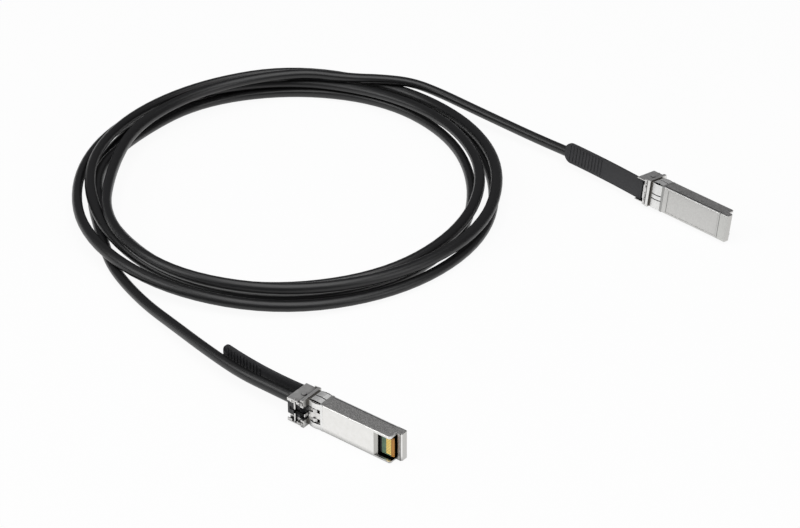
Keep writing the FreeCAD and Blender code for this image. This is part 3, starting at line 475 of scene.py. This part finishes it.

# ---- Latch slider, fork, pin and rivets ----------------------------------------------------
# Bright stamped steel: the slider straddles the housing and slides on two headed rivets, and the
# fork hangs on a plain pin across it. The fork's eye and neck are painted black.
for end in "ab":
    stamped = plated_metal(
        "stamped_steel", ("#D4D3D1", "#F6F5F3"), (0.34, 0.50), 0.4, 0.06, 0.08, end, depth=2.0,
        specks=[("#6F6E6C", 1.0, {"along": (-49, -44)})])
    for name in ("latch_slider_", "cross_pin_", "guide_rivets_"):
        nodes[name + end].material_slots[0].material = stamped
    nodes["release_fork_" + end].material_slots[0].material = plated_metal(
        "fork_steel", ("#D9D8D6", "#EFEEEC"), (0.22, 0.34), 0.25, 0.02, 0.08, end, depth=2.0,
        marks=((dark, {"along": (-53.0, -45.6), "up": (-5.0, 2.0)}),))

# ---- Strain relief and pull tab ------------------------------------------------------------
# A black nylon block that grips the cable's end in the housing, and a soft strap on the slider.
# Both are injection moulded, and their moulds' grain leaves them matt.


def moulded_plastic(name, colours, roughness, grain_mm, depth_mm):
    """Moulded plastic with the fine even grain of a spark-eroded mould, and eased edges."""
    material, tree = new_material(name)
    spot = add_node(tree, "TexCoord")
    grain = add_node(tree, "TexNoise", [("Vector", spot.outputs["Object"]),
                                        ("Scale", 1000 / grain_mm), ("Detail", 2.0)])
    cloud = add_node(tree, "TexNoise", [("Vector", spot.outputs["Object"]), ("Scale", 90.0)])
    tone = add_node(tree, "Mix", [("Factor", cloud.outputs[0]), (mix_a, paint(colours[0])),
                                  (mix_b, paint(colours[1]))], data_type="RGBA")
    rough = add_node(tree, "MapRange", [("Value", grain.outputs[0]), ("To Min", roughness[0]),
                                        ("To Max", roughness[1])])
    edge = add_node(tree, "Bevel", [("Radius", 0.0001)], samples=4)
    bump = add_node(tree, "Bump", [("Height", grain.outputs[0]), ("Strength", 0.4),
                                   ("Distance", depth_mm / 1000), ("Normal", edge.outputs[0])])
    finish_material(tree, [("Base Color", tone.outputs[mix_result]),
                           ("Roughness", rough.outputs[0]), ("IOR", 1.53),
                           ("Normal", bump.outputs[0])])
    return material


relief_nylon = moulded_plastic("moulded_nylon", ("#262628", "#303033"), (0.42, 0.56), 0.2, 0.02)
tab_elastomer = moulded_plastic("moulded_elastomer", ("#252527", "#2E2E31"), (0.5, 0.64), 0.25,
                                0.02)
for end in "ab":
    nodes["strain_relief_" + end].material_slots[0].material = relief_nylon
    nodes["pull_tab_" + end].material_slots[0].material = tab_elastomer

# ---- Floor and light -----------------------------------------------------------------------
# White paper under three softboxes, as for a catalogue picture. The paper glows nearly to white
# where it is seen or reflected, and its matt share keeps the object's shadow.
floor_edge, glow_share = 4, 0.93           # metres from the middle, and of 1
corners = [(-floor_edge, -floor_edge, 0), (floor_edge, -floor_edge, 0),
           (floor_edge, floor_edge, 0), (-floor_edge, floor_edge, 0)]
floor = new_piece("floor", corners, [(0, 1, 2, 3)])
paper, tree = new_material("white_paper")
ray = add_node(tree, "LightPath")
seen = add_node(tree, "Math", [(0, ray.outputs["Is Camera Ray"]),
                               (1, ray.outputs["Is Glossy Ray"])], operation="MAXIMUM")
seen = add_node(tree, "Math", [(0, seen.outputs[0]), (1, ray.outputs["Is Transmission Ray"])],
                operation="MAXIMUM")
share = add_node(tree, "Math", [(0, seen.outputs[0]), (1, glow_share)], operation="MULTIPLY")
matt = add_node(tree, "BsdfDiffuse", [("Color", paint("#F2F2F2"))])
glow = add_node(tree, "Emission", [("Color", (1, 1, 1, 1)), ("Strength", 1.0)])
both = add_node(tree, "MixShader", [(0, share.outputs[0]), (1, matt.outputs[0]),
                                    (2, glow.outputs[0])])
add_node(tree, "OutputMaterial", [("Surface", both.outputs[0])])
floor.data.materials.append(paper)


def softbox(name, place, aim, size, power):
    """Square lamp at a place, turned towards a point. Its side is in metres, its power in watts."""
    lamp = bpy.data.lights.new(name, "AREA")
    lamp.size = size
    lamp.energy = power
    piece = bpy.data.objects.new(name, lamp)
    piece.location = place
    piece.rotation_euler = (Vector(aim) - Vector(place)).to_track_quat("-Z", "Y").to_euler()
    bpy.context.scene.collection.objects.link(piece)


softbox("overhead", (0.1, -0.2, 1.4), (-0.05, 0, 0), 1.4, 14.5)
softbox("front_left", (-0.9, -1.1, 0.9), (-0.05, 0, 0), 0.9, 7)
softbox("right", (1.3, 0.1, 0.7), (0, 0, 0), 0.8, 4)
world = bpy.data.worlds.new("studio")
bpy.context.scene.world = world
world.use_nodes = True
world.node_tree.nodes["Background"].inputs["Color"].default_value = (0.14, 0.14, 0.145, 1)
bpy.context.scene.view_settings.view_transform = "Standard"
